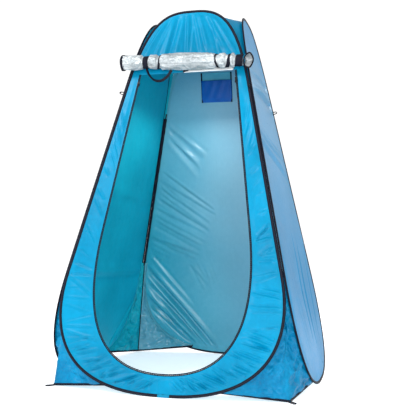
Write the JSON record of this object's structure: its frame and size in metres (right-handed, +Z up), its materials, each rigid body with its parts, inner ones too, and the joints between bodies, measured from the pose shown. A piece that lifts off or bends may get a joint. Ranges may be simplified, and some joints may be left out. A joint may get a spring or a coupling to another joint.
{
  "type": "privacy shower tent",
  "caption": "Pop-up privacy shower tent: four lean-in walls on spring hoops, roof, corner gussets, U-shaped doorway with rolled door, pocket and peg loops.",
  "frame": {"origin": "on the ground, at the centre of the footprint", "axes": "+Z up, the doorway faces -Y, +X to the right as seen from the doorway"},
  "size_m": [1.3112, 1.3112, 1.9003],
  "materials": {
    "blue_polyester": "thin coated woven polyester, glossy wrinkles",
    "black_binding": "folded and stitched binding tape, matte",
    "black_webbing": "ribbed woven webbing, matte",
    "spring_steel": "oiled spring steel wire",
    "ferrule_metal": "crimped metal tube",
    "zip_metal": "black lacquered die casting",
    "zip_edge": "black zip teeth and corded edge",
    "silver_coated_polyester": "silver coated inner face of the cloth, crinkled",
    "navy_polyester": "plain woven polyester"
  },
  "bodies": {
    "front": {"front_wall": "blue_polyester", "front_sleeve": "black_binding", "front_hoop_wire": "spring_steel", "front_hoop_ferrule": "ferrule_metal", "front_gusset_left": "blue_polyester", "front_gusset_right": "blue_polyester", "front_roof_gore": "blue_polyester", "front_guy_loop": "black_webbing", "corner_seam_front_left": "black_binding", "corner_seam_front_right": "black_binding", "peg_loop_front_left": "black_webbing", "peg_loop_front_right": "black_webbing", "door_zip_edge": "zip_edge", "door_header_lip": "silver_coated_polyester"},
    "left": {"left_wall": "blue_polyester", "left_sleeve": "black_binding", "left_hoop_wire": "spring_steel", "left_hoop_ferrule": "ferrule_metal", "left_gusset_left": "blue_polyester", "left_gusset_right": "blue_polyester", "left_roof_gore": "blue_polyester", "left_guy_loop": "black_webbing", "corner_seam_back_left": "black_binding", "peg_loop_back_left": "black_webbing"},
    "right": {"right_wall": "blue_polyester", "right_sleeve": "black_binding", "right_hoop_wire": "spring_steel", "right_hoop_ferrule": "ferrule_metal", "right_gusset_left": "blue_polyester", "right_gusset_right": "blue_polyester", "right_roof_gore": "blue_polyester", "right_guy_loop": "black_webbing", "corner_seam_back_right": "black_binding", "peg_loop_back_right": "black_webbing"},
    "back": {"back_wall": "blue_polyester", "back_sleeve": "black_binding", "back_hoop_wire": "spring_steel", "back_hoop_ferrule": "ferrule_metal", "back_gusset_left": "blue_polyester", "back_gusset_right": "blue_polyester", "back_roof_gore": "blue_polyester", "back_guy_loop": "black_webbing", "storage_pocket": "navy_polyester", "pocket_side_left": "black_binding", "pocket_side_right": "black_binding"},
    "door_roll": {"door_roll": "silver_coated_polyester", "roll_end_binding": "black_binding", "roll_end_flap": "silver_coated_polyester", "tie_band_left_broad": "black_binding", "tie_band_left_narrow": "black_binding", "tie_band_right_narrow": "black_binding", "tie_band_right_medium": "black_binding", "tie_band_right_broad": "black_binding"},
    "hanging_strap": {"hanging_strap": "black_webbing"},
    "zip_slider_left": {"zip_slider_left": "zip_metal", "zip_bail_left": "zip_metal"},
    "zip_pull_left": {"zip_pull_left": "zip_metal"},
    "zip_slider_right": {"zip_slider_right": "zip_metal", "zip_bail_right": "zip_metal"},
    "zip_pull_right": {"zip_pull_right": "zip_metal"}
  },
  "joints": [
    {"name": "left_fold", "type": "hinge", "parent": "front", "child": "left", "pos_m": [-0.64729, -0.64729, 0], "axis": [-0.2075, -0.2075, -0.956], "range_deg": [0, 80], "deforming": ["front_gusset_left", "front_gusset_right", "front_roof_gore", "left_gusset_left", "left_gusset_right", "left_roof_gore"]},
    {"name": "right_fold", "type": "hinge", "parent": "front", "child": "right", "pos_m": [0.64729, -0.64729, 0], "axis": [0.2075, -0.2075, -0.956], "range_deg": [0, 79], "deforming": ["right_gusset_left", "right_gusset_right", "right_roof_gore", "corner_seam_back_right"]},
    {"name": "back_fold", "type": "hinge", "parent": "left", "child": "back", "pos_m": [-0.64729, 0.64729, 0], "axis": [0.2075, -0.2075, 0.956], "range_deg": [0, 79], "deforming": ["back_gusset_left", "back_gusset_right", "back_roof_gore"]},
    {"name": "roll_swing", "type": "hinge", "parent": "front", "child": "door_roll", "pos_m": [0.0013, -0.30462, 1.6244], "axis": [-0.9993, 0.0081, 0.0375], "range_deg": [0, 60]},
    {"name": "strap_swing", "type": "hinge", "parent": "door_roll", "child": "hanging_strap", "pos_m": [-0.13548, -0.35998, 1.56499], "axis": [0.9993, -0.0081, -0.0375], "range_deg": [-40, 40]},
    {"name": "slider_left_travel", "type": "slide", "parent": "front", "child": "zip_slider_left", "axis": [-0.1365, -0.2101, -0.9681], "range_m": [0, 0.7]},
    {"name": "pull_left_swing", "type": "hinge", "parent": "zip_slider_left", "child": "zip_pull_left", "pos_m": [-0.25636, -0.33421, 1.50691], "axis": [-1, 0, 0], "range_deg": [0, 100]},
    {"name": "slider_right_travel", "type": "slide", "parent": "front", "child": "zip_slider_right", "axis": [0.1365, -0.2101, -0.9681], "range_m": [0, 0.7]},
    {"name": "pull_right_swing", "type": "hinge", "parent": "zip_slider_right", "child": "zip_pull_right", "pos_m": [0.25636, -0.33421, 1.50691], "axis": [-1, 0, 0], "range_deg": [0, 100]}
  ],
  "couplings": [
    {"joint": "right_fold", "follows": "left_fold", "ratio": 0.98},
    {"joint": "back_fold", "follows": "left_fold", "ratio": 0.98}
  ]
}
